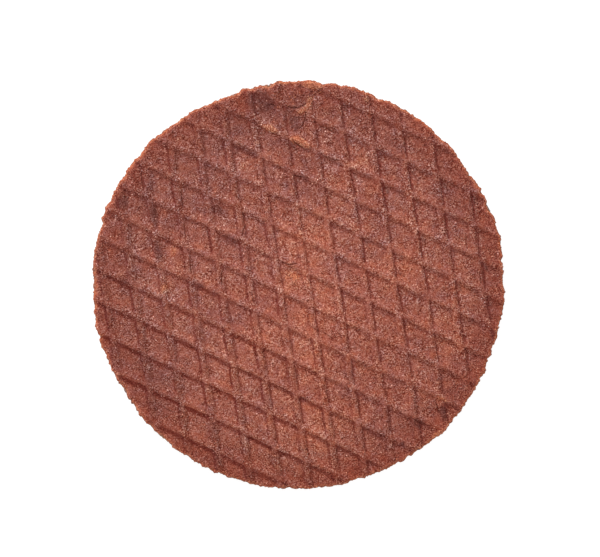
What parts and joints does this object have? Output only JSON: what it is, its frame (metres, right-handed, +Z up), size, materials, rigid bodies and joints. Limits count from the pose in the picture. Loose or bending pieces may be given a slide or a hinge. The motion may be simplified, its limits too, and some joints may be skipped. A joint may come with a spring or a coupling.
{
  "type": "stroopwafel",
  "caption": "Round stroopwafel: thin chocolate-brown wafer halves with a rhombus grid on both faces, pressed over a full layer of caramel syrup.",
  "frame": {"origin": "middle of the underside, on the crossing of two ridges of the lower grid", "axes": "+Z up through the biscuit's thickness, +Y towards the edge where the crust has torn, +X to its right"},
  "size_m": [0.089, 0.0882, 0.0064],
  "materials": {
    "lower_crust": "stands for baked wafer crust, matte and crumbly",
    "syrup_caramel": "stands for set caramel syrup, soft gloss",
    "upper_crust": "stands for baked wafer crust, matte and crumbly"
  },
  "bodies": {
    "root": {"bottom_wafer": "lower_crust", "syrup": "syrup_caramel", "top_wafer": "upper_crust"}
  },
  "joints": []
}
